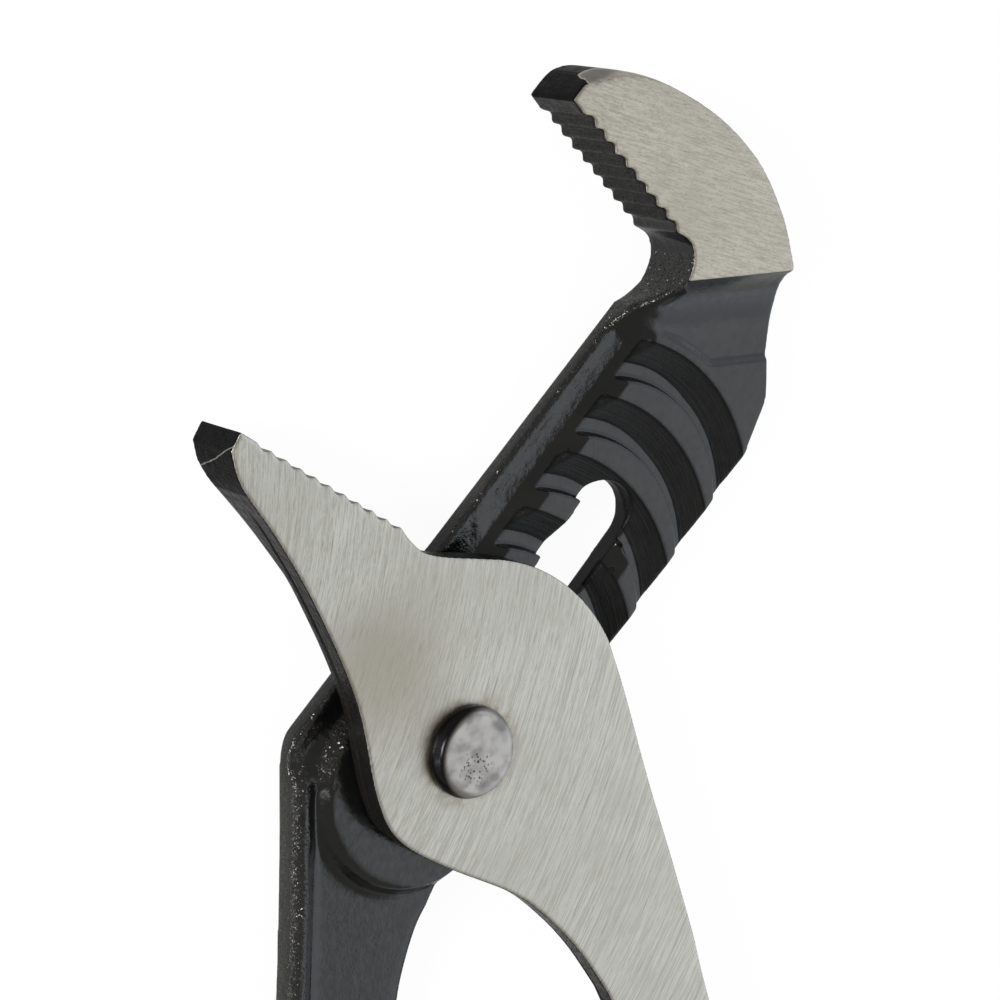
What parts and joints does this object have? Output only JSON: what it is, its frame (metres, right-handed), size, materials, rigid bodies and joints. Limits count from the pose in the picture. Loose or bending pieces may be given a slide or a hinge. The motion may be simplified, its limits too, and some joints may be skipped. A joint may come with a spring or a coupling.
{
  "type": "water pump pliers",
  "caption": "Steel water pump pliers with toothed angled jaws, a slotted neck with curved adjusting grooves, a bolted slip joint and dipped handle grips.",
  "frame": {"origin": "centre of the flat end of the pivot bolt's tail, on the pivot axis", "axes": "+Y from the pivot towards the upper jaw, along the tool; +Z out of the ground front face, along the pivot; +X to the right, towards the front half's handle"},
  "size_m": [0.1212, 0.2548, 0.0181],
  "materials": {
    "black_finish": "satin black over forged steel, ground bright on the jaw's front face",
    "ground_steel": "ground and brushed front face, black sides and back",
    "pivot_steel": "dull, slightly stained",
    "dipped_grip": "matte dipped plastic"
  },
  "bodies": {
    "rear_half": {"rear_half": "black_finish", "rear_grip": "dipped_grip"},
    "pivot": {"pivot_bolt": "pivot_steel", "pivot_nut": "pivot_steel"},
    "front_half": {"front_half": "ground_steel", "front_grip": "dipped_grip"}
  },
  "joints": [
    {"name": "setting_slide", "type": "slide", "parent": "rear_half", "child": "pivot", "axis": [0.6896, 0.7242, 0], "range_m": [-0.00961, 0.03844]},
    {"name": "jaw_hinge", "type": "hinge", "parent": "pivot", "child": "front_half", "pos_m": [0, 0, 0.01], "axis": [0, 0, -1], "range_deg": [0, 24]}
  ]
}
